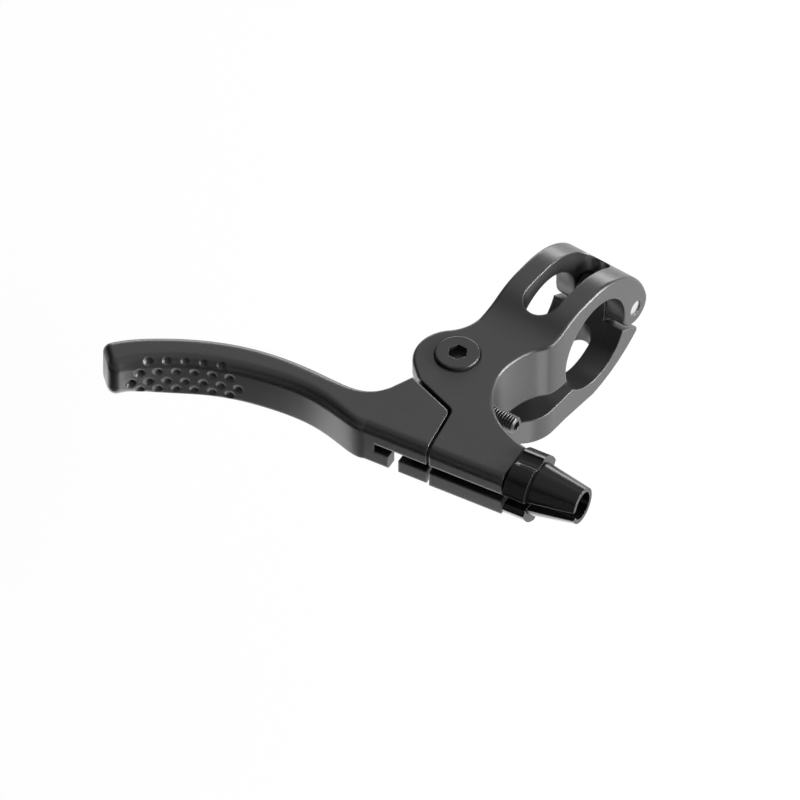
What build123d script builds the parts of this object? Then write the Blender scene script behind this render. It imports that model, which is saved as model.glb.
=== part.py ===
from build123d import *
from math import acos, atan2, cos, degrees, hypot, radians, sin, sqrt
import os

os.makedirs("parts", exist_ok=True)

# Frame: the bar axis is X through the origin, the fingers are at -Y, the pivot axis is parallel to Z.
# Lengths are in millimetres and angles in degrees.

# Bar clamp
bar_diameter = 22.2
clamp_width = 18.7
strap_radius = 20.1
strap_center = (0.0, -5.0)
strap_rise_start_y = -19.0
strap_crest_y = -3.5
window_width = 8.6
window_near_y = -11.2
window_far_y = 15.4
jaw_bottom_z = -2.8

# Clamp hinge
hinge_z = -1.2
hinge_pin_diameter = 3.6
hinge_pin_recess = 0.3
knuckle_radius = 4.53
knuckle_side_clearance = 0.3
running_clearance = 0.05

# Lower clamp half
lug_top_z = -7.4
lug_bottom_z = -14.2
lug_center_y = -16.0
shoulder_inner_z = -4.4
shoulder_outer = (15.4, -7.4)
shoulder_corner_radius = 1.0
strap_bottom_z = -15.0
strap_bottom_y = -1.0
strap_waist = (8.3, -12.6)
lower_window_width = 6.0
lower_window_near_y = -4.4
lower_window_far_y = 9.0
clamp_bolt_diameter = 5.0
clamp_bolt_head_diameter = 8.5
clamp_bolt_head_height = 5.0
clamp_bolt_socket = 4.0
clamp_bolt_depth = 8.0
hole_end_room = 1.0
counterbore_depth = 3.2
clamp_slot_travel = 1.6
head_clearance = 0.6

# Body plate and pivot
top_z = 12.0
front_bottom_z = 1.0
pivot = (-6.5, -29.8)
lobe_center = (-6.8, -31.2)
lobe_radius = 8.9
flare_radius = 10.0
parting_left = (-9.86, -40.3)
parting_corner = (2.7, -44.0)
parting_distance = 18.2
parting_corner_radius = 2.5
parting_gap = 0.6
parting_drop = 0.5
front_edge_radius = 2.4
edge_radius = 0.6
outline_edge_radius = 0.8
underside_step_y = -41.0
underside_slope_y = -37.0
inner_curve_front = (9.0, -37.6)
inner_curve_waist = (4.5, -27.4)
inner_curve_back = (7.1, -18.0)
inner_curve_end_y = -10.5

# Clevis slot, tongue and pivot parts
tongue_thickness = 4.6
tongue_center_z = 5.1
tongue_boss_radius = 7.6
tongue_slot_clearance = 0.9
bush_flange = 0.5
bush_side_clearance = 0.1
bush_wall = 1.0
bush_flange_diameter = 11.0
pivot_shank_diameter = 6.0
pivot_thread_diameter = 5.0
pivot_head_diameter = 10.0
pivot_head_height = 2.7
pivot_head_rise = 0.9
pivot_socket = 4.0
pivot_socket_depth = 1.9
pivot_nut_width = 8.0
pivot_nut_height = 4.0
pivot_nut_recess = 2.5
hole_clearance = 0.1
bolt_edge_round = 0.4

# Cable line and barrel adjuster
barrel_base = (22.9, -48.5)
barrel_angle = 7.2
cable_z = 6.0
cable_slot = 2.4
front_face_offset = 6.55
housing_back_offset = 4.9
shank_diameter = 7.0
shank_depth = 9.0
shank_hole = 2.4
ring_gap = 0.7
ring_length = 5.3
ring_diameter = 15.7
ring_lobes = 4
ring_scallop_radius = 3.0
ring_scallop_depth = 1.4
cone_gap = 0.12
cone_length = 10.68
cone_base_diameter = 12.4
cone_tip_diameter = 8.6
housing_bore_diameter = 6.6
housing_bore_depth = 9.0

# Reach screw
reach_screw_diameter = 4.0
reach_screw_length = 12.0
reach_screw_y = -35.0
reach_screw_z = 5.8
reach_screw_socket = 2.0
reach_screw_end_x = 13.4
stop_clearance = 0.1

# Blade
root_distance = 34.6
root_rear_offset = 6.9
root_rear_round = 0.15
neck_rear = (-16.4, -50.2)
neck_front = (-15.6, -59.5)
tongue_tail = (-11.0, -46.5)
finger_start = (-24.5, -58.1)
finger_front_radius = 57.2
finger_sweep = 48.2
neck_thickness = 7.2
finger_thickness = 7.7
finger_front_round = 2.7
finger_rear_round = 2.4
foot_round = 0.6
neck_rear_round = 0.9
tip_round = 2.0
tip_narrowing = 0.6
tip_flare = 1.7
tip_flare_share = 0.9
nipple_pocket_radius = 3.7
nipple_x = -6.5
nipple_slit = 2.6
nipple_pocket_height = 8.5
nipple_slot_tail = 2.4
dimple_diameter = 2.1
dimple_depth = 0.5
dimple_pitch = 4.0
dimple_middle_turn = 31.2
dimple_rows_z = (10.9, 8.0, 5.1, 2.75)
dimple_row_counts = (5, 6, 7, 6)

bar_radius = bar_diameter / 2
half_width = clamp_width / 2
hinge_reach = strap_radius - knuckle_radius
hinge_y = strap_center[0] + sqrt(hinge_reach**2 - (hinge_z - strap_center[1]) ** 2)
knuckle_notch_top_z = hinge_z + knuckle_radius + knuckle_side_clearance
ray = (cos(radians(barrel_angle)), sin(radians(barrel_angle)))


def along_cable(distance, side):
    """Plan point at a distance along the cable line and to its right hand (+Y) side."""
    return (
        barrel_base[0] + distance * ray[0] - side * ray[1],
        barrel_base[1] + distance * ray[1] + side * ray[0],
    )


def tangent_point(center, radius, point, side):
    """Where a straight edge from a point touches a circle; side is +1 or -1."""
    dx = point[0] - center[0]
    dy = point[1] - center[1]
    angle = atan2(dy, dx) + side * acos(radius / hypot(dx, dy))
    return (center[0] + radius * cos(angle), center[1] + radius * sin(angle))


# Lever body
flare_center_x = -half_width - flare_radius
flare_drop = sqrt((lobe_radius + flare_radius) ** 2 - (flare_center_x - lobe_center[0]) ** 2)
flare_center = (flare_center_x, lobe_center[1] + flare_drop)
flare_share = lobe_radius / (lobe_radius + flare_radius)
flare_start = (-half_width, flare_center[1])
flare_end = (
    lobe_center[0] + flare_share * (flare_center[0] - lobe_center[0]),
    lobe_center[1] + flare_share * (flare_center[1] - lobe_center[1]),
)
lobe_end = tangent_point(lobe_center, lobe_radius, parting_left, -1)
parting_front = along_cable(-parting_distance, -front_face_offset)
housing_front = along_cable(0, -front_face_offset)
housing_back = along_cable(0, housing_back_offset)
strap_back_y = strap_center[0] + strap_radius + 2 * knuckle_radius

with BuildSketch() as body_plan:
    with BuildLine():
        Line((-half_width, strap_back_y), flare_start)
        RadiusArc(flare_start, flare_end, flare_radius)
        RadiusArc(flare_end, lobe_end, -lobe_radius)
        Line(lobe_end, parting_left)
        Line(parting_left, parting_corner)
        Line(parting_corner, parting_front)
        Line(parting_front, housing_front)
        Line(housing_front, housing_back)
        Spline(
            housing_back,
            inner_curve_front,
            inner_curve_waist,
            inner_curve_back,
            (half_width, inner_curve_end_y),
            tangents=[(-ray[0], ray[1]), (0, 1)],
        )
        Line((half_width, inner_curve_end_y), (half_width, strap_back_y))
        Line((half_width, strap_back_y), (-half_width, strap_back_y))
    make_face()
    corner = body_plan.vertices().sort_by_distance(parting_corner)[0]
    fillet(corner, parting_corner_radius)

strap_top_z = strap_center[1] + strap_radius
strap_end = (
    strap_center[0] + strap_radius * (hinge_y - strap_center[0]) / hinge_reach,
    strap_center[1] + strap_radius * (hinge_z - strap_center[1]) / hinge_reach,
)
rise_start = (strap_rise_start_y, top_z)
rise_end = (strap_crest_y, strap_top_z)
rise_middle = ((rise_start[0] + rise_end[0]) / 2, (rise_start[1] + rise_end[1]) / 2)
front_limit_y = parting_front[1] - clamp_width

with BuildSketch(Plane.YZ) as body_side:
    with BuildLine():
        Line((front_limit_y, top_z), rise_start)
        TangentArc(rise_start, rise_middle, tangent=(1, 0))
        TangentArc(rise_end, rise_middle, tangent=(-1, 0))
        Line(rise_end, (strap_center[0], strap_top_z))
        RadiusArc((strap_center[0], strap_top_z), strap_end, strap_radius)
        ThreePointArc(strap_end, (hinge_y, hinge_z - knuckle_radius), (hinge_y - knuckle_radius, hinge_z))
        Line((hinge_y - knuckle_radius, hinge_z), (0, hinge_z))
        Line((0, hinge_z), (0, jaw_bottom_z))
        Line((0, jaw_bottom_z), (underside_slope_y, jaw_bottom_z))
        Line((underside_slope_y, jaw_bottom_z), (underside_step_y, front_bottom_z))
        Line((underside_step_y, front_bottom_z), (front_limit_y, front_bottom_z))
        Line((front_limit_y, front_bottom_z), (front_limit_y, top_z))
    make_face()

slot_height = tongue_thickness + 2 * (bush_flange + bush_side_clearance)
slot_bottom_z = tongue_center_z - slot_height / 2
slot_top_z = tongue_center_z + slot_height / 2
tongue_right_x = reach_screw_end_x - reach_screw_length - stop_clearance
slot_right_x = tongue_right_x + tongue_slot_clearance
slot_radius = tongue_boss_radius + tongue_slot_clearance
pivot_hole_radius = pivot_shank_diameter / 2 + hole_clearance
pivot_seat_z = top_z + pivot_head_rise - pivot_head_height
clamp_bolt_hole_radius = clamp_bolt_diameter / 2 + hole_clearance
shank_hole_radius = shank_diameter / 2 + hole_clearance
barrel_plane = Plane(
    origin=(barrel_base[0], barrel_base[1], cable_z),
    x_dir=(ray[1], -ray[0], 0),
    z_dir=(ray[0], ray[1], 0),
)
barrel_profile_plane = Plane(
    origin=(barrel_base[0], barrel_base[1], cable_z),
    x_dir=(ray[1], -ray[0], 0),
    z_dir=(0, 0, 1),
)
barrel_axis = Axis((barrel_base[0], barrel_base[1], cable_z), (ray[0], ray[1], 0))

with BuildPart() as lever_body:
    extrude(body_plan.sketch, amount=strap_top_z, both=True)
    extrude(body_side.sketch, amount=2 * clamp_width, both=True, mode=Mode.INTERSECT)
    front_middle = (parting_front[0] + housing_front[0]) / 2, (parting_front[1] + housing_front[1]) / 2
    fillet(lever_body.edges().sort_by_distance((*front_middle, top_z))[0], front_edge_radius)
    # Rounded outer edges; each chain of smooth edges starts on the strap's crest
    for side_x in (-half_width, half_width):
        crest_edge = lever_body.edges().sort_by_distance((side_x, strap_crest_y / 2, strap_top_z))[0]
        fillet(crest_edge, outline_edge_radius)
    # Bar bore, with the window over it and the notch for the centre knuckle
    with BuildSketch(Plane.YZ):
        Circle(bar_radius)
    extrude(amount=clamp_width, both=True, mode=Mode.SUBTRACT)
    with BuildSketch() as window:
        with Locations((0, (window_near_y + window_far_y) / 2)):
            SlotOverall(window_far_y - window_near_y, window_width, rotation=90)
    extrude(amount=2 * strap_radius, mode=Mode.SUBTRACT)
    with Locations((0, bar_radius / 2, knuckle_notch_top_z)):
        Box(
            window_width,
            clamp_width,
            clamp_width,
            align=(Align.CENTER, Align.MIN, Align.MAX),
            mode=Mode.SUBTRACT,
        )
    with BuildSketch(Plane.YZ):
        with Locations((hinge_y, hinge_z)):
            Circle(hinge_pin_diameter / 2)
    extrude(amount=clamp_width, both=True, mode=Mode.SUBTRACT)
    # Clevis slot for the blade's tongue
    with BuildSketch(Plane.XY.offset(slot_bottom_z)):
        with Locations(pivot):
            Circle(slot_radius)
        with Locations((slot_right_x, parting_corner[1] - slot_height)):
            Rectangle(
                2 * clamp_width,
                pivot[1] - parting_corner[1] + slot_height,
                align=(Align.MAX, Align.MIN),
            )
        with Locations((pivot[0], pivot[1])):
            Rectangle(clamp_width, slot_radius, align=(Align.MAX, Align.MIN))
    extrude(amount=slot_height, mode=Mode.SUBTRACT)
    # Pivot holes: a seat for the bolt head above, a hex recess for the nut below
    with Locations(Plane((*pivot, top_z))):
        CounterBoreHole(
            pivot_hole_radius,
            pivot_head_diameter / 2 + 2 * hole_clearance,
            top_z - pivot_seat_z,
        )
    with BuildSketch(Plane.XY.offset(jaw_bottom_z)):
        with Locations(pivot):
            RegularPolygon(pivot_nut_width / 2 + hole_clearance, 6, major_radius=False)
    extrude(amount=pivot_nut_recess, mode=Mode.SUBTRACT)
    # Threaded holes, kept plain: reach screw, clamp bolt and barrel adjuster
    with BuildSketch(Plane.YZ.offset(tongue_right_x)):
        with Locations((reach_screw_y, reach_screw_z)):
            Circle(reach_screw_diameter / 2 + hole_clearance)
    extrude(amount=reach_screw_length, mode=Mode.SUBTRACT)
    with BuildSketch(Plane.XY.offset(jaw_bottom_z)):
        with Locations((0, lug_center_y)):
            Circle(clamp_bolt_hole_radius)
    extrude(amount=clamp_bolt_depth + hole_end_room, mode=Mode.SUBTRACT)
    with BuildSketch(barrel_plane):
        Circle(shank_hole_radius)
    extrude(amount=-shank_depth - hole_end_room, mode=Mode.SUBTRACT)
    # Cable slot along the front of the housing
    with BuildSketch(barrel_plane):
        with Locations((-cable_slot / 2, 0)):
            Rectangle(2 * front_face_offset, cable_slot, align=(Align.MIN, Align.CENTER))
    extrude(amount=-2 * clamp_width, mode=Mode.SUBTRACT)
lever_body.part.label = "lever_body"
export_step(lever_body.part, "parts/lever_body.step")


# Lever blade
arc_center = (finger_start[0], finger_start[1] - finger_front_radius)
tongue_bottom_z = tongue_center_z - tongue_thickness / 2
blade_height = top_z - front_bottom_z
bush_radius = pivot_shank_diameter / 2 + running_clearance + bush_wall
root_front = along_cable(-root_distance, -front_face_offset)
root_rear = along_cable(-root_distance, root_rear_offset)


def finger_point(turn, radius):
    """Plan point on the finger arc, turned from its start, at a radius from the arc's centre."""
    return (arc_center[0] - radius * sin(radians(turn)), arc_center[1] + radius * cos(radians(turn)))


def blade_section(rear, front, front_radius, foot_radius, rear_radius):
    """Upright cross-section of the blade between a rear and a front plan point."""
    width = hypot(front[0] - rear[0], front[1] - rear[1])
    across = ((front[0] - rear[0]) / width, (front[1] - rear[1]) / width)
    plane = Plane(
        origin=(rear[0], rear[1], front_bottom_z),
        x_dir=(across[0], across[1], 0),
        z_dir=(across[1], -across[0], 0),
    )
    with BuildSketch(plane) as section:
        with BuildLine():
            foot_start = (width - foot_radius, 0)
            foot_end = (width, foot_radius)
            crown_start = (width, blade_height - front_radius)
            crown_end = (width - front_radius, blade_height)
            back_start = (rear_radius, blade_height)
            back_end = (0, blade_height - rear_radius)
            Line((rear_radius, 0), foot_start)
            RadiusArc(foot_start, foot_end, -foot_radius)
            Line(foot_end, crown_start)
            RadiusArc(crown_start, crown_end, -front_radius)
            Line(crown_end, back_start)
            RadiusArc(back_start, back_end, -rear_radius)
            Line(back_end, (0, rear_radius))
            RadiusArc((0, rear_radius), (rear_radius, 0), -rear_radius)
        make_face()
    return section.sketch


def finger_section(share, foot_radius, flare=0.0, narrowing=0.0):
    """Cross-section at a share of the finger arc, which thickens from the neck and flares at the tip."""
    turn = share * finger_sweep
    thickness = neck_thickness + (finger_thickness - neck_thickness) * min(2 * share, 1)
    return blade_section(
        finger_point(turn, finger_front_radius + thickness - narrowing),
        finger_point(turn, finger_front_radius - flare),
        finger_front_round,
        foot_radius,
        finger_rear_round,
    )


with BuildSketch(Plane.XY.offset(front_bottom_z)) as root_plan:
    Polygon(
        root_rear,
        (parting_left[0], parting_left[1] + parting_gap),
        (parting_front[0], parting_left[1] + parting_gap),
        parting_front,
        root_front,
        align=None,
    )
    # The gap is wider behind the root than beside it
    lowered_plan = body_plan.sketch.moved(Location((0, -parting_drop, 0)))
    offset(lowered_plan, amount=parting_gap, mode=Mode.SUBTRACT)

dimple_sphere_radius = (dimple_diameter**2 / 4 + dimple_depth**2) / (2 * dimple_depth)
dimple_stand_off = dimple_sphere_radius - dimple_depth
dimple_step = degrees(dimple_pitch / finger_front_radius)


def dimple_center(turn, row_z):
    """Centre of the ball that presses one dimple into the finger end's rounded front."""
    above_flat = max(row_z - top_z + finger_front_round, 0)
    share = above_flat / finger_front_round
    level = sqrt(1 - share**2)
    radius = finger_front_radius + finger_front_round * (1 - level) - dimple_stand_off * level
    return (*finger_point(turn, radius), row_z + dimple_stand_off * share)


nipple_center = along_cable((nipple_x - barrel_base[0]) / ray[0], 0)
nipple_plane = Plane(
    origin=(*nipple_center, front_bottom_z),
    x_dir=(ray[0], ray[1], 0),
    z_dir=(0, 0, 1),
)
tongue_left = tangent_point(pivot, tongue_boss_radius, tongue_tail, -1)
root_front_middle = ((root_front[0] + parting_front[0]) / 2, (root_front[1] + parting_front[1]) / 2)

with BuildPart() as lever_blade:
    # Root block, with its front top edge rounded like the body's
    extrude(root_plan.sketch, amount=blade_height)
    fillet(lever_blade.edges().sort_by_distance((*root_front_middle, top_z))[0], front_edge_radius)
    fillet(lever_blade.edges().sort_by_distance((*root_front_middle, front_bottom_z))[0], edge_radius)
    # Neck and curved finger end
    loft(
        [
            blade_section(root_rear, root_front, front_edge_radius, edge_radius, root_rear_round),
            blade_section(neck_rear, neck_front, front_edge_radius, foot_round, neck_rear_round),
            finger_section(0, foot_round),
            finger_section(1 / 4, foot_round),
            finger_section(1 / 2, foot_round),
            finger_section(3 / 4, foot_round),
            finger_section(tip_flare_share, finger_front_round, tip_flare / 4),
            finger_section(1, finger_front_round, tip_flare, tip_narrowing),
        ]
    )
    tip_plan = finger_point(finger_sweep, finger_front_radius + finger_thickness / 2)
    tip_face = lever_blade.faces().sort_by_distance((*tip_plan, front_bottom_z + blade_height / 2))[0]
    fillet(tip_face.edges(), tip_round)
    # Tongue on the pivot, with the bore for its bushes
    with BuildSketch(Plane.XY.offset(tongue_bottom_z)):
        with Locations(pivot):
            Circle(tongue_boss_radius)
        Polygon(
            pivot,
            tongue_left,
            tongue_tail,
            (tongue_right_x, tongue_tail[1]),
            (tongue_right_x, pivot[1]),
            align=None,
        )
    extrude(amount=tongue_thickness)
    with BuildSketch(Plane.XY.offset(tongue_bottom_z)):
        with Locations(pivot):
            Circle(bush_radius)
    extrude(amount=tongue_thickness, mode=Mode.SUBTRACT)
    # Nipple pocket, open below, with the slit that lets the cable in and the slot that it runs in
    with BuildSketch(nipple_plane):
        Circle(nipple_pocket_radius)
        with Locations((nipple_pocket_radius, 0)):
            Rectangle(nipple_slit, 2 * front_face_offset, align=(Align.MAX, Align.MAX))
    extrude(amount=cable_z - front_bottom_z, mode=Mode.SUBTRACT)
    with BuildSketch(nipple_plane):
        Circle(nipple_pocket_radius)
    extrude(amount=nipple_pocket_height, mode=Mode.SUBTRACT)
    with BuildSketch(nipple_plane.offset(cable_z - front_bottom_z - cable_slot / 2)):
        with Locations((-nipple_slot_tail, cable_slot / 2)):
            Rectangle(2 * clamp_width, 2 * front_face_offset, align=(Align.MIN, Align.MAX))
    extrude(amount=cable_slot, mode=Mode.SUBTRACT)
    # Dimples in staggered rows along the finger end
    for row_z, row_count in zip(dimple_rows_z, dimple_row_counts):
        for index in range(row_count):
            turn = dimple_middle_turn + (index - (row_count - 1) / 2) * dimple_step
            with Locations(dimple_center(turn, row_z)):
                Sphere(dimple_sphere_radius, mode=Mode.SUBTRACT)
lever_blade.part.label = "lever_blade"
export_step(lever_blade.part, "parts/lever_blade.step")


# Pivot bushes, pressed in the blade from both sides
def pivot_bush(name, flange_face_z, direction):
    """Flanged bush whose flange lies on one side of the tongue; direction points into the bore."""
    with BuildPart() as bush:
        with BuildSketch(Plane((*pivot, flange_face_z), z_dir=(0, 0, direction))):
            Circle(bush_radius)
        extrude(amount=tongue_thickness / 2)
        with BuildSketch(Plane((*pivot, flange_face_z), z_dir=(0, 0, -direction))):
            Circle(bush_flange_diameter / 2)
        extrude(amount=bush_flange)
        with BuildSketch(Plane((*pivot, flange_face_z), z_dir=(0, 0, direction))):
            Circle(pivot_shank_diameter / 2 + running_clearance)
        extrude(amount=tongue_thickness, both=True, mode=Mode.SUBTRACT)
    bush.part.label = name
    export_step(bush.part, f"parts/{name}.step")


pivot_bush("upper_bush", tongue_center_z + tongue_thickness / 2, -1)
pivot_bush("lower_bush", tongue_center_z - tongue_thickness / 2, 1)

# Pivot bolt: low head with a hex socket, plain shank, threaded end
nut_top_z = jaw_bottom_z + pivot_nut_recess
nut_bottom_z = nut_top_z - pivot_nut_height
with BuildPart() as pivot_bolt:
    with BuildSketch(Plane.XY.offset(pivot_seat_z)):
        with Locations(pivot):
            Circle(pivot_head_diameter / 2)
    extrude(amount=pivot_head_height)
    fillet(pivot_bolt.edges().group_by(Axis.Z)[-1], bolt_edge_round)
    with BuildSketch(Plane.XY.offset(pivot_seat_z + pivot_head_height)):
        with Locations(pivot):
            RegularPolygon(pivot_socket / 2, 6, major_radius=False)
    extrude(amount=-pivot_socket_depth, mode=Mode.SUBTRACT)
    with BuildSketch(Plane.XY.offset(pivot_seat_z)):
        with Locations(pivot):
            Circle(pivot_shank_diameter / 2)
    extrude(amount=nut_top_z - pivot_seat_z)
    with BuildSketch(Plane.XY.offset(nut_top_z)):
        with Locations(pivot):
            Circle(pivot_thread_diameter / 2)
    extrude(amount=-pivot_nut_height - bolt_edge_round)
    chamfer(pivot_bolt.edges().group_by(Axis.Z)[0], bolt_edge_round)
pivot_bolt.part.label = "pivot_bolt"
export_step(pivot_bolt.part, "parts/pivot_bolt.step")

with BuildPart() as pivot_nut:
    with BuildSketch(Plane.XY.offset(nut_top_z)):
        with Locations(pivot):
            RegularPolygon(pivot_nut_width / 2, 6, major_radius=False)
            Circle(pivot_thread_diameter / 2, mode=Mode.SUBTRACT)
    extrude(amount=-pivot_nut_height)
pivot_nut.part.label = "pivot_nut"
export_step(pivot_nut.part, "parts/pivot_nut.step")

# Lower clamp half: strap under the bar, bolt lug with a round end, shoulders and centre knuckle
lug_limit_y = lug_center_y - 2 * half_width
shoulder_inner_y = sqrt(bar_radius**2 - shoulder_inner_z**2)
strap_outer_start = (shoulder_outer[0], shoulder_outer[1] - shoulder_corner_radius)
strap_outer_end = (strap_bottom_y, strap_bottom_z)
lug_flat_start = (-bar_radius, lug_bottom_z)
with BuildSketch(Plane.YZ) as clamp_side:
    with BuildLine():
        Line((shoulder_inner_y, shoulder_inner_z), shoulder_outer)
        Line(shoulder_outer, strap_outer_start)
        ThreePointArc(strap_outer_start, strap_waist, strap_outer_end)
        Line(strap_outer_end, lug_flat_start)
        Line(lug_flat_start, (lug_limit_y, lug_bottom_z))
        Line((lug_limit_y, lug_bottom_z), (lug_limit_y, lug_top_z))
        Line((lug_limit_y, lug_top_z), (0, lug_top_z))
        Line((0, lug_top_z), (0, shoulder_inner_z))
        Line((0, shoulder_inner_z), (shoulder_inner_y, shoulder_inner_z))
    make_face()
    Circle(bar_radius, mode=Mode.SUBTRACT)

knuckle_half = window_width / 2 - knuckle_side_clearance
with BuildPart() as clamp_half:
    extrude(clamp_side.sketch, amount=half_width, both=True)
    with BuildSketch():
        with Locations((0, lug_center_y)):
            Circle(half_width)
            Rectangle(clamp_width, 3 * clamp_width, align=(Align.CENTER, Align.MIN))
    extrude(amount=clamp_width, both=True, mode=Mode.INTERSECT)
    with BuildSketch(Plane.YZ):
        with Locations((hinge_y, hinge_z)):
            Circle(knuckle_radius)
        Polygon(
            (hinge_y - knuckle_radius, hinge_z),
            (shoulder_inner_y, shoulder_inner_z),
            (bar_radius, strap_bottom_z / 2),
            shoulder_outer,
            (hinge_y + knuckle_radius / 2, hinge_z),
            align=None,
        )
        Circle(bar_radius, mode=Mode.SUBTRACT)
        with Locations((hinge_y, hinge_z)):
            Circle(hinge_pin_diameter / 2 + running_clearance, mode=Mode.SUBTRACT)
    extrude(amount=knuckle_half, both=True)
    # Window under the bar
    with BuildSketch():
        with Locations((0, (lower_window_near_y + lower_window_far_y) / 2)):
            SlotOverall(lower_window_far_y - lower_window_near_y, lower_window_width, rotation=90)
    extrude(amount=2 * strap_bottom_z, mode=Mode.SUBTRACT)
    # Slotted bolt hole, so that the half can swing while the bolt stays upright
    with BuildSketch(Plane.XY.offset(lug_bottom_z)):
        with Locations((0, lug_center_y - clamp_slot_travel / 2)):
            SlotCenterToCenter(clamp_slot_travel, clamp_bolt_diameter + head_clearance, rotation=90)
    extrude(amount=clamp_width, both=True, mode=Mode.SUBTRACT)
    with BuildSketch(Plane.XY.offset(lug_bottom_z)):
        with Locations((0, lug_center_y - clamp_slot_travel / 2)):
            SlotCenterToCenter(clamp_slot_travel, clamp_bolt_head_diameter + head_clearance, rotation=90)
    extrude(amount=counterbore_depth, mode=Mode.SUBTRACT)
clamp_half.part.label = "clamp_half"
export_step(clamp_half.part, "parts/clamp_half.step")

with BuildPart() as hinge_pin:
    with BuildSketch(Plane.YZ):
        with Locations((hinge_y, hinge_z)):
            Circle(hinge_pin_diameter / 2)
    extrude(amount=half_width - hinge_pin_recess, both=True)
hinge_pin.part.label = "hinge_pin"
export_step(hinge_pin.part, "parts/hinge_pin.step")

clamp_seat_z = lug_bottom_z + counterbore_depth
with BuildPart() as clamp_bolt:
    with BuildSketch(Plane.XY.offset(clamp_seat_z)):
        with Locations((0, lug_center_y)):
            Circle(clamp_bolt_head_diameter / 2)
    extrude(amount=-clamp_bolt_head_height)
    fillet(clamp_bolt.edges().group_by(Axis.Z)[0], bolt_edge_round)
    with BuildSketch(Plane.XY.offset(clamp_seat_z - clamp_bolt_head_height)):
        with Locations((0, lug_center_y)):
            RegularPolygon(clamp_bolt_socket / 2, 6, major_radius=False)
    extrude(amount=clamp_bolt_head_height / 2, mode=Mode.SUBTRACT)
    with BuildSketch(Plane.XY.offset(clamp_seat_z)):
        with Locations((0, lug_center_y)):
            Circle(clamp_bolt_diameter / 2)
    extrude(amount=jaw_bottom_z + clamp_bolt_depth - clamp_seat_z)
    chamfer(clamp_bolt.edges().group_by(Axis.Z)[-1], bolt_edge_round)
clamp_bolt.part.label = "clamp_bolt"
export_step(clamp_bolt.part, "parts/clamp_bolt.step")

# Reach screw: headless, with its tip against the blade's tongue
with BuildPart() as reach_screw:
    with BuildSketch(Plane.YZ.offset(reach_screw_end_x)):
        with Locations((reach_screw_y, reach_screw_z)):
            Circle(reach_screw_diameter / 2)
    extrude(amount=-reach_screw_length)
    chamfer(reach_screw.edges().filter_by(GeomType.CIRCLE), bolt_edge_round)
    with BuildSketch(Plane.YZ.offset(reach_screw_end_x)):
        with Locations((reach_screw_y, reach_screw_z)):
            RegularPolygon(reach_screw_socket / 2, 6, major_radius=False)
    extrude(amount=-reach_screw_socket, mode=Mode.SUBTRACT)
reach_screw.part.label = "reach_screw"
export_step(reach_screw.part, "parts/reach_screw.step")

# Lock ring: round lobes between grooves, slotted for the cable in one groove
ring_radius = ring_diameter / 2
groove_circle_radius = ring_radius + ring_scallop_radius - ring_scallop_depth
with BuildPart() as lock_ring:
    with BuildSketch(barrel_plane.offset(ring_gap)):
        Circle(ring_radius)
        with PolarLocations(groove_circle_radius, ring_lobes):
            Circle(ring_scallop_radius, mode=Mode.SUBTRACT)
        Circle(shank_hole_radius, mode=Mode.SUBTRACT)
        Rectangle(ring_diameter, cable_slot, align=(Align.MIN, Align.CENTER), mode=Mode.SUBTRACT)
    extrude(amount=ring_length)
lock_ring.part.label = "lock_ring"
export_step(lock_ring.part, "parts/lock_ring.step")

# Barrel adjuster: threaded shank kept plain, slotted cone with the socket for the cable housing
cone_start = ring_gap + ring_length + cone_gap
cone_end = cone_start + cone_length
with BuildPart() as barrel_adjuster:
    with BuildSketch(barrel_profile_plane):
        Polygon(
            (shank_hole / 2, -shank_depth),
            (shank_diameter / 2, -shank_depth),
            (shank_diameter / 2, cone_start),
            (cone_base_diameter / 2, cone_start),
            (cone_tip_diameter / 2, cone_end),
            (housing_bore_diameter / 2, cone_end),
            (housing_bore_diameter / 2, cone_end - housing_bore_depth),
            (shank_hole / 2, cone_end - housing_bore_depth),
            align=None,
        )
    revolve(axis=barrel_axis)
    with BuildSketch(barrel_plane.offset(-shank_depth)):
        Rectangle(ring_diameter, cable_slot, align=(Align.MIN, Align.CENTER))
    extrude(amount=shank_depth + cone_end, mode=Mode.SUBTRACT)
barrel_adjuster.part.label = "barrel_adjuster"
export_step(barrel_adjuster.part, "parts/barrel_adjuster.step")
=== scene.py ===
import math

import bmesh
import bpy
from mathutils import Matrix, Vector


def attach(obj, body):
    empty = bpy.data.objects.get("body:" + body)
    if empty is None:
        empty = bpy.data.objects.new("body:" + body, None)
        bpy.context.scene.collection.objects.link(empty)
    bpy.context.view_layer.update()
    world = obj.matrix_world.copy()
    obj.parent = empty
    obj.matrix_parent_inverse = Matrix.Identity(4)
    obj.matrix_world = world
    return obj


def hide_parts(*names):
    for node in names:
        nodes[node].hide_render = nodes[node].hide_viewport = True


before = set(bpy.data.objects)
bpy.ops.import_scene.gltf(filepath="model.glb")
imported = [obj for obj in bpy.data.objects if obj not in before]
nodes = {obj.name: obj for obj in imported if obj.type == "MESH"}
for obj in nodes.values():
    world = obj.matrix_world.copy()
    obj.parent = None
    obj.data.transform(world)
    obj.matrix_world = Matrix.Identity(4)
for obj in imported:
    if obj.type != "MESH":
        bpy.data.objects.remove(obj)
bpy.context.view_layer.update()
scene = bpy.context.scene
MM = 0.001

# Helpers


def node(tree, kind, **values):
    """Adds a node; a key such as in_Scale sets that input, any other key an attribute."""
    made = tree.nodes.new(kind)
    for key, value in values.items():
        if key.startswith("in_"):
            made.inputs[key[3:].replace("_", " ")].default_value = value
        else:
            setattr(made, key, value)
    return made


def place(name, data):
    """Puts a new object with this mesh, lamp or camera in the scene."""
    made = bpy.data.objects.new(name, data)
    scene.collection.objects.link(made)
    return made


def sheet(name, points, faces):
    """Mesh from its points and faces."""
    mesh = bpy.data.meshes.new(name)
    mesh.from_pydata(points, [], faces)
    return mesh


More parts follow.
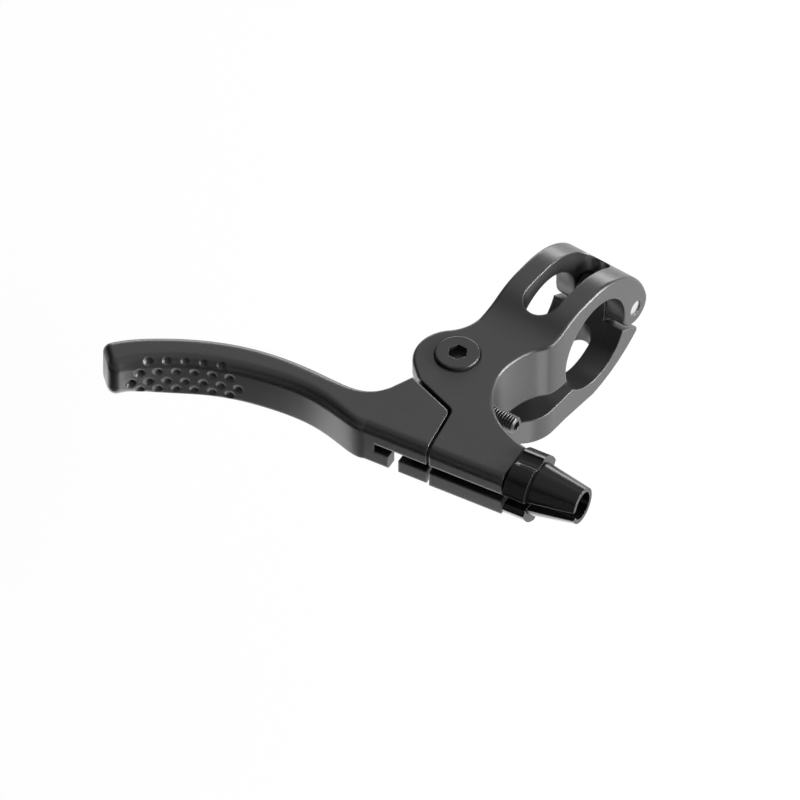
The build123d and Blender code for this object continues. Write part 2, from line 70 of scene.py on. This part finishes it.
def mend(mesh, weld=0.0):
    """Turns all faces outwards, after joining points that are closer than weld."""
    bm = bmesh.new()
    bm.from_mesh(mesh)
    if weld:
        bmesh.ops.remove_doubles(bm, verts=bm.verts, dist=weld)
    bmesh.ops.recalc_face_normals(bm, faces=bm.faces)
    bm.to_mesh(mesh)
    bm.free()


# Materials
GRAIN = 0.00009
DARKER, LIGHTER = 0.82, 1.18
ROUGH_SPREAD = 0.05


def surface(name, color, worn_and_highlight, rough, specular, edge, grain_bump=0.12, wear_and_highlight=0.5, metallic=0.0, turned=None):
    """Metal or plastic: fine blasted grain, slow tone changes, rounded edges, and edges lightened partly as
    rubbed wear and partly as painted highlight.
    """
    mat = bpy.data.materials.new(name)
    mat.use_nodes = True
    tree = mat.node_tree
    link = tree.links.new
    shader = tree.nodes["Principled BSDF"]
    shader.inputs["Metallic"].default_value = metallic
    shader.inputs["Specular IOR Level"].default_value = specular

    where = node(tree, "ShaderNodeTexCoord")
    slow = node(tree, "ShaderNodeTexNoise", in_Scale=140.0, in_Detail=4.0, in_Roughness=0.6)
    fine = node(tree, "ShaderNodeTexNoise", in_Scale=1.0 / GRAIN, in_Detail=2.0)
    for tex in (slow, fine):
        link(where.outputs["Object"], tex.inputs["Vector"])

    # Rounded edges for the shading, and the same rounding as a mask for edges lightened partly as rubbed
    # wear and partly as painted highlight
    rounded = node(tree, "ShaderNodeBevel", samples=6, in_Radius=edge)
    flat = node(tree, "ShaderNodeNewGeometry")
    dot = node(tree, "ShaderNodeVectorMath", operation="DOT_PRODUCT")
    link(rounded.outputs["Normal"], dot.inputs[0])
    link(flat.outputs["Normal"], dot.inputs[1])
    mask = node(tree, "ShaderNodeMapRange", in_From_Min=0.995, in_From_Max=0.75,
                in_To_Min=0.0, in_To_Max=wear_and_highlight)
    link(dot.outputs["Value"], mask.inputs["Value"])
    patchy = node(tree, "ShaderNodeMapRange", in_From_Min=0.35, in_From_Max=0.65,
                  in_To_Min=0.35, in_To_Max=1.0)
    link(slow.outputs["Fac"], patchy.inputs["Value"])
    rub_and_highlight = node(tree, "ShaderNodeMath", operation="MULTIPLY")
    link(mask.outputs["Result"], rub_and_highlight.inputs[0])
    link(patchy.outputs["Result"], rub_and_highlight.inputs[1])

    tone = node(tree, "ShaderNodeMix", data_type="RGBA")
    tone.inputs["A"].default_value = (*[c * DARKER for c in color], 1)
    tone.inputs["B"].default_value = (*[c * LIGHTER for c in color], 1)
    link(slow.outputs["Fac"], tone.inputs["Factor"])
    # Lighter colour at the edges: partly rubbed wear, partly a painted highlight along the edges
    paint = node(tree, "ShaderNodeMix", data_type="RGBA")
    paint.inputs["B"].default_value = (*worn_and_highlight, 1)
    link(rub_and_highlight.outputs["Value"], paint.inputs["Factor"])
    link(tone.outputs["Result"], paint.inputs["A"])
    link(paint.outputs["Result"], shader.inputs["Base Color"])

    sheen = node(tree, "ShaderNodeMapRange", in_From_Min=0.3, in_From_Max=0.7,
                 in_To_Min=rough - ROUGH_SPREAD, in_To_Max=rough + ROUGH_SPREAD)
    link(fine.outputs["Fac"], sheen.inputs["Value"])
    link(sheen.outputs["Result"], shader.inputs["Roughness"])

    bump = node(tree, "ShaderNodeBump", in_Strength=grain_bump, in_Distance=0.00003)
    link(fine.outputs["Fac"], bump.inputs["Height"])
    link(rounded.outputs["Normal"], bump.inputs["Normal"])
    last = bump
    if turned:
        # Fine lathe marks along the axis that the piece was turned on
        axis, pitch = turned
        along = node(tree, "ShaderNodeVectorMath", operation="DOT_PRODUCT")
        along.inputs[1].default_value = axis
        link(where.outputs["Object"], along.inputs[0])
        wave = node(tree, "ShaderNodeMath", operation="MULTIPLY")
        wave.inputs[1].default_value = 2 * math.pi / pitch
        link(along.outputs["Value"], wave.inputs[0])
        ripple = node(tree, "ShaderNodeMath", operation="SINE")
        link(wave.outputs["Value"], ripple.inputs[0])
        last = node(tree, "ShaderNodeBump", in_Strength=0.10, in_Distance=0.00002)
        link(ripple.outputs["Value"], last.inputs["Height"])
        link(bump.outputs["Normal"], last.inputs["Normal"])
    link(last.outputs["Normal"], shader.inputs["Normal"])
    return mat


BARREL_ANGLE = math.radians(7.2)
BARREL_AXIS = (math.cos(BARREL_ANGLE), math.sin(BARREL_ANGLE), 0.0)
LATHE_MARKS = 0.00022

# Each finish's lighter edge colour is partly rubbed wear and partly a painted highlight
satin = surface("satin_black", color=(0.020, 0.020, 0.021), worn_and_highlight=(0.30, 0.30, 0.305), rough=0.31,
                specular=0.8, edge=0.00055, wear_and_highlight=0.30)
gloss = surface("gloss_black", color=(0.004, 0.004, 0.0045), worn_and_highlight=(0.20, 0.20, 0.205), rough=0.20,
                specular=0.45, edge=0.00025, grain_bump=0.03, wear_and_highlight=0.6, turned=(BARREL_AXIS, LATHE_MARKS))
steel_black = surface("black_steel", color=(0.018, 0.018, 0.019), worn_and_highlight=(0.20, 0.20, 0.205), rough=0.32,
                      specular=0.7, edge=0.00020, grain_bump=0.06)
steel_bright = surface("bright_steel", color=(0.72, 0.72, 0.73), worn_and_highlight=(0.85, 0.85, 0.85), rough=0.30,
                       specular=0.5, edge=0.00015, grain_bump=0.05, wear_and_highlight=0.3, metallic=1.0)
plastic = surface("bush_plastic", color=(0.022, 0.022, 0.022), worn_and_highlight=(0.08, 0.08, 0.08), rough=0.55,
                  specular=0.4, edge=0.00015, grain_bump=0.05, wear_and_highlight=0.2)

looks = {
    "lever_body": satin,
    "lever_blade": satin,
    "clamp_half": satin,
    "upper_bush": plastic,
    "lower_bush": plastic,
    "pivot_bolt": steel_black,
    "pivot_nut": steel_black,
    "clamp_bolt": steel_black,
    "reach_screw": steel_black,
    "hinge_pin": steel_bright,
    "lock_ring": gloss,
    "barrel_adjuster": gloss,
}
for name, look in looks.items():
    data = nodes[name].data
    data.materials.clear()
    data.materials.append(look)

# Turned pieces, in millimetres until they are placed
SHARP = math.radians(32)


def lathe(name, rows, count, origin, axis, material):
    """Piece from rings; each row gives (radius, distance along the axis) for an angle."""
    bm = bmesh.new()
    rings = []
    for row in rows:
        angles = [2 * math.pi * i / count for i in range(count)]
        spots = [row(angle) for angle in angles]
        if max(r for r, _ in spots) < 1e-9:
            rings.append([bm.verts.new((0, 0, spots[0][1]))])
        else:
            rings.append([bm.verts.new((r * math.cos(angle), r * math.sin(angle), distance))
                          for angle, (r, distance) in zip(angles, spots)])
    for low, high in zip(rings, rings[1:]):
        for i in range(count):
            k = (i + 1) % count
            if len(low) == 1:
                bm.faces.new((low[0], high[k], high[i]))
            elif len(high) == 1:
                bm.faces.new((low[i], low[k], high[0]))
            else:
                bm.faces.new((low[i], low[k], high[k], high[i]))
    bmesh.ops.recalc_face_normals(bm, faces=bm.faces)
    mesh = bpy.data.meshes.new(name)
    bm.to_mesh(mesh)
    bm.free()
    turn = Vector((0, 0, 1)).rotation_difference(Vector(axis)).to_matrix().to_4x4()
    mesh.transform(Matrix.Translation(origin) @ turn @ Matrix.Scale(MM, 4))
    mesh.shade_smooth()
    mesh.set_sharp_from_angle(angle=SHARP)
    mesh.materials.append(material)
    return place(name, mesh)


def ring(radius, distance):
    return lambda angle: (radius, distance)


def hex_radius(across, angle):
    """Distance from a hexagon's centre to its side at an angle."""
    return across / 2 / math.cos(angle % (math.pi / 3) - math.pi / 6)


def hexagon(across, distance):
    return lambda angle: (hex_radius(across, angle), distance)


ROWS_PER_PITCH = 10
FLAT, FLANK = 0.16, 0.68
END_DROP, LEAST_RADIUS = 0.12, 0.1


def thread(start, end, major, minor, pitch, lead_in, run_out):
    """Rows of a helical thread from start to end, fading at both ends."""
    count = int(round((end - start) / pitch * ROWS_PER_PITCH))

    def make(distance):
        def row(angle):
            phase = (distance / pitch - angle / (2 * math.pi)) % 1.0
            height = min(1.0, max(0.0, (abs(2 * phase - 1) - FLAT) / FLANK))
            radius = minor + (major - minor) * height
            limit_low = minor - END_DROP + (distance - start) * lead_in
            limit_high = minor - END_DROP + (end - distance) * run_out
            return min(radius, max(limit_low, LEAST_RADIUS), max(limit_high, LEAST_RADIUS)), distance
        return row
    return [make(start + (end - start) * i / count) for i in range(count + 1)]


# Reach screw: M4 grub screw with a hex socket, along +X
REACH_BASE = (1.4 * MM, -35.0 * MM, 5.8 * MM)
REACH_END, REACH_SOCKET, REACH_SOCKET_FLOOR = 12.0, 2.0, 10.0
reach_rows = [
    ring(0, REACH_SOCKET_FLOOR),
    hexagon(REACH_SOCKET, REACH_SOCKET_FLOOR),
    hexagon(REACH_SOCKET, REACH_END - 0.15),
    ring(1.2, REACH_END),
    ring(1.52, REACH_END),
    *reversed(thread(0.0, REACH_END, major=2.0, minor=1.62, pitch=0.7, lead_in=1.6, run_out=1.6)),
    ring(0, 0.0),
]
reach = lathe("reach_screw_thread", reach_rows, 48, REACH_BASE, (1, 0, 0), steel_black)
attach(reach, "reach")
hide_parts("reach_screw")

# Clamp bolt: M5 cap screw with a knurled head below, along +Z
BOLT_BASE = (0, -16.0 * MM, -16.0 * MM)
BOLT_RADIUS, BOLT_PLAIN_END, BOLT_END = 2.5, 5.6, 21.2
BOLT_SOCKET, BOLT_SOCKET_FLOOR = 4.0, 2.5
HEAD, HEAD_TOP = 4.25, 5.0
KNURLS, KNURL_DEPTH, KNURL_FADE = 32, 0.22, 0.10


def knurl(distance, depth):
    return lambda angle: (HEAD - depth * (0.5 + 0.5 * math.cos(KNURLS * angle)), distance)


bolt_rows = [
    ring(0, BOLT_SOCKET_FLOOR),
    hexagon(BOLT_SOCKET, BOLT_SOCKET_FLOOR),
    hexagon(BOLT_SOCKET, 0.15),
    ring(2.45, 0.0),
    ring(HEAD - 0.45, 0.0),
    ring(HEAD - 0.18, 0.10),
    ring(HEAD - KNURL_FADE, 0.30),
    knurl(0.40, KNURL_FADE),
    knurl(0.55, KNURL_DEPTH),
    knurl(4.30, KNURL_DEPTH),
    knurl(4.55, KNURL_FADE),
    ring(HEAD - KNURL_FADE, 4.70),
    ring(HEAD - KNURL_FADE, HEAD_TOP),
    ring(BOLT_RADIUS, HEAD_TOP),
    ring(BOLT_RADIUS, BOLT_PLAIN_END),
    *thread(BOLT_PLAIN_END, BOLT_END, major=BOLT_RADIUS, minor=2.06, pitch=0.8, lead_in=3.6, run_out=1.2),
    ring(0, BOLT_END),
]
bolt = lathe("clamp_bolt_thread", bolt_rows, 128, BOLT_BASE, (0, 0, 1), steel_black)
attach(bolt, "bolt")
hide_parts("clamp_bolt")

# Pivot nut: hex nut with chamfered corners, below the body
NUT_BASE = (-6.5 * MM, -29.8 * MM, -4.3 * MM)
NUT, NUT_HEIGHT, NUT_HOLE = 8.0, 4.0, 2.5
NUT_FACE = 0.96 * NUT / 2
NUT_RIM, NUT_SLOPE = 0.12, 0.55


def nut_edge(face, side):
    """Row of the nut's outer wall, where the chamfer cuts its corners."""
    def row(angle):
        radius = hex_radius(NUT, angle)
        return radius, face + side * (NUT_RIM + (radius - NUT_FACE) * NUT_SLOPE)
    return row


nut_rows = [
    ring(NUT_HOLE, 0.0),
    ring(NUT_FACE, 0.0),
    nut_edge(0.0, 1),
    nut_edge(NUT_HEIGHT, -1),
    ring(NUT_FACE, NUT_HEIGHT),
    ring(NUT_HOLE, NUT_HEIGHT),
    ring(NUT_HOLE, 0.0),
]
nut = lathe("pivot_nut_hex", nut_rows, 72, NUT_BASE, (0, 0, 1), steel_black)
mend(nut.data, weld=1e-7)
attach(nut, "base")
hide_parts("pivot_nut")

# Thread on the barrel adjuster's shank, cut by the cable slot, which faces the front
BARREL_BASE = (22.9 * MM, -48.5 * MM, 6.0 * MM)
SHANK_FOOT, SHANK_CREST, SHANK_PITCH = 3.42, 3.57, 1.0
SHANK_START, SHANK_TURNS, SLOT_TURN, STEPS = -8.4, 8, 24.0, 56
RIDGE_HALF = 0.48
ridge_section = ((SHANK_FOOT, -RIDGE_HALF), (SHANK_CREST, 0.0), (SHANK_FOOT, RIDGE_HALF))
ridge_points, ridge_faces = [], []
for turn in range(SHANK_TURNS):
    first = len(ridge_points)
    for step in range(STEPS + 1):
        part_turn = (SLOT_TURN + (360.0 - 2 * SLOT_TURN) * step / STEPS) / 360.0
        distance = SHANK_START + SHANK_PITCH * (turn + part_turn)
        angle = 2 * math.pi * part_turn
        for radius, shift in ridge_section:
            along = distance + shift * SHANK_PITCH
            ridge_points.append((along, -radius * math.cos(angle), radius * math.sin(angle)))
    for step in range(STEPS):
        low = first + 3 * step
        for k in range(3):
            m = (k + 1) % 3
            ridge_faces.append((low + k, low + m, low + 3 + m, low + 3 + k))
    last = first + 3 * STEPS
    ridge_faces += [(first + 2, first + 1, first), (last, last + 1, last + 2)]
ridge_mesh = sheet("barrel_thread", ridge_points, ridge_faces)
ridge_turn = Matrix.Translation(BARREL_BASE) @ Matrix.Rotation(BARREL_ANGLE, 4, "Z")
ridge_mesh.transform(ridge_turn @ Matrix.Scale(MM, 4))
mend(ridge_mesh)
ridge_mesh.materials.append(gloss)
ridge = place("barrel_thread", ridge_mesh)
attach(ridge, "barrel")

# Stage and light
scene.view_settings.view_transform = "Standard"


def bare(name):
    """Material with nothing on its output yet."""
    mat = bpy.data.materials.new(name)
    mat.use_nodes = True
    mat.node_tree.nodes.remove(mat.node_tree.nodes["Principled BSDF"])
    return mat


def reflected_only(thing):
    thing.visible_camera = thing.visible_shadow = thing.visible_diffuse = False


# Pale floor: mostly white to the camera and in reflections, plain matte to all other light
FLOOR_HALF, FLOOR_Z, FLOOR_GLOW = 3.0, -0.060, 0.92
floor_points = [(x * FLOOR_HALF, y * FLOOR_HALF, FLOOR_Z) for x, y in ((-1, -1), (1, -1), (1, 1), (-1, 1))]
floor_mesh = sheet("floor", floor_points, [(0, 1, 2, 3)])
floor = place("floor", floor_mesh)
pale = bare("pale_floor")
tree = pale.node_tree
matte = node(tree, "ShaderNodeBsdfDiffuse", in_Color=(0.86, 0.86, 0.86, 1))
glow = node(tree, "ShaderNodeEmission", in_Color=(1, 1, 1, 1), in_Strength=1.0)
path = node(tree, "ShaderNodeLightPath")
seen = node(tree, "ShaderNodeMath", operation="MAXIMUM")
tree.links.new(path.outputs["Is Camera Ray"], seen.inputs[0])
tree.links.new(path.outputs["Is Glossy Ray"], seen.inputs[1])
through = node(tree, "ShaderNodeMath", operation="MAXIMUM")
tree.links.new(seen.outputs["Value"], through.inputs[0])
tree.links.new(path.outputs["Is Transmission Ray"], through.inputs[1])
share = node(tree, "ShaderNodeMath", operation="MULTIPLY")
share.inputs[1].default_value = FLOOR_GLOW
tree.links.new(through.outputs["Value"], share.inputs[0])
mix = node(tree, "ShaderNodeMixShader")
tree.links.new(share.outputs["Value"], mix.inputs["Fac"])
tree.links.new(matte.outputs["BSDF"], mix.inputs[1])
tree.links.new(glow.outputs["Emission"], mix.inputs[2])
tree.links.new(mix.outputs["Shader"], tree.nodes["Material Output"].inputs["Surface"])
floor_mesh.materials.append(pale)

# World: pale up to the horizon, dark walls above it, a grey ceiling
world = bpy.data.worlds.new("studio")
scene.world = world
world.use_nodes = True
tree = world.node_tree
sky = tree.nodes["Background"]
where = node(tree, "ShaderNodeTexCoord")
split = node(tree, "ShaderNodeSeparateXYZ")
tree.links.new(where.outputs["Generated"], split.inputs["Vector"])
height = node(tree, "ShaderNodeMapRange", in_From_Min=-1.0, in_From_Max=1.0)
tree.links.new(split.outputs["Z"], height.inputs["Value"])
ramp = node(tree, "ShaderNodeValToRGB")
tree.links.new(height.outputs["Result"], ramp.inputs["Fac"])
tree.links.new(ramp.outputs["Color"], sky.inputs["Color"])
stops = ((0.50, 1.0), (0.54, 0.04), (0.80, 0.04), (0.95, 0.45))
while len(ramp.color_ramp.elements) < len(stops):
    ramp.color_ramp.elements.new(0.5)
for element, (position, level) in zip(ramp.color_ramp.elements, stops):
    element.position = position
    element.color = (level, level, level, 1)

AIM = Vector((-12.0 * MM, -43.8 * MM, 6.0 * MM))
LAMP_DISTANCE = 0.9


def softbox(name, direction, width, height, watts):
    """Area lamp that faces the object from a direction."""
    lamp = bpy.data.lights.new(name, "AREA")
    lamp.shape = "RECTANGLE"
    lamp.size, lamp.size_y = width, height
    lamp.energy = watts
    made = place(name, lamp)
    away = Vector(direction).normalized()
    made.location = AIM + away * LAMP_DISTANCE
    made.rotation_mode = "QUATERNION"
    made.rotation_quaternion = away.to_track_quat("Z", "Y")


softbox("key_right", (0.88, 0.42, 0.22), width=0.6, height=0.3, watts=26.0)
softbox("top_back", (-0.41, 0.56, 0.72), width=0.8, height=0.7, watts=0.7)
softbox("low_back", (-0.41, 0.87, 0.22), width=0.8, height=0.25, watts=3.2)

# Black card low in front, grey cards upright in front and at the right; only reflections see them
CARD_Z, WALL_Z = -0.045, 0.25
LEFT, RIGHT, NEAR, EDGE, FAR = -0.35, 0.35, -0.42, -0.099, 0.25
card_points = [
    (LEFT, NEAR, CARD_Z), (RIGHT, NEAR, CARD_Z), (RIGHT, EDGE, CARD_Z), (LEFT, EDGE, CARD_Z),
    (LEFT, NEAR, WALL_Z), (RIGHT, NEAR, WALL_Z), (RIGHT, FAR, CARD_Z), (RIGHT, FAR, WALL_Z),
]
card_mesh = sheet("cards", card_points, [(0, 1, 2, 3), (0, 1, 5, 4), (1, 6, 7, 5)])
card = place("cards", card_mesh)
reflected_only(card)
for name, level in (("black_felt", 0.01), ("grey_felt", 0.12)):
    felt = bpy.data.materials.new(name)
    felt.use_nodes = True
    shader = felt.node_tree.nodes["Principled BSDF"]
    shader.inputs["Base Color"].default_value = (level, level, level, 1)
    shader.inputs["Specular IOR Level"].default_value = 0.0
    card_mesh.materials.append(felt)
for face in card_mesh.polygons[1:]:
    face.material_index = 1

# White panel under the blade and the barrel, for the light on the front faces; only reflections see it
PANEL_GLOW = 2.6
panel_corners = ((-0.11, -0.089), (-0.04, -0.089), (0.08, -0.084), (0.08, -0.03), (-0.11, -0.03))
panel_mesh = sheet("panel", [(x, y, CARD_Z) for x, y in panel_corners], [(0, 1, 2, 3, 4)])
panel = place("panel", panel_mesh)
reflected_only(panel)
white = bare("white_panel")
tree = white.node_tree
glow = node(tree, "ShaderNodeEmission", in_Color=(1, 1, 1, 1), in_Strength=PANEL_GLOW)
tree.links.new(glow.outputs["Emission"], tree.nodes["Material Output"].inputs["Surface"])
panel_mesh.materials.append(white)

# Camera, at the photograph's angle
TOWARDS = Vector((0.4085, -0.5620, 0.7195)).normalized()
CAMERA_DISTANCE, VIEW_WIDTH = 0.8, 0.1762
camera_data = bpy.data.cameras.new("camera")
camera_data.type = "ORTHO"
camera_data.ortho_scale = VIEW_WIDTH
camera_data.clip_start, camera_data.clip_end = 0.01, 10.0
camera = place("camera", camera_data)
camera.location = AIM + TOWARDS * CAMERA_DISTANCE
camera.rotation_mode = "QUATERNION"
camera.rotation_quaternion = TOWARDS.to_track_quat("Z", "Y")
scene.camera = camera
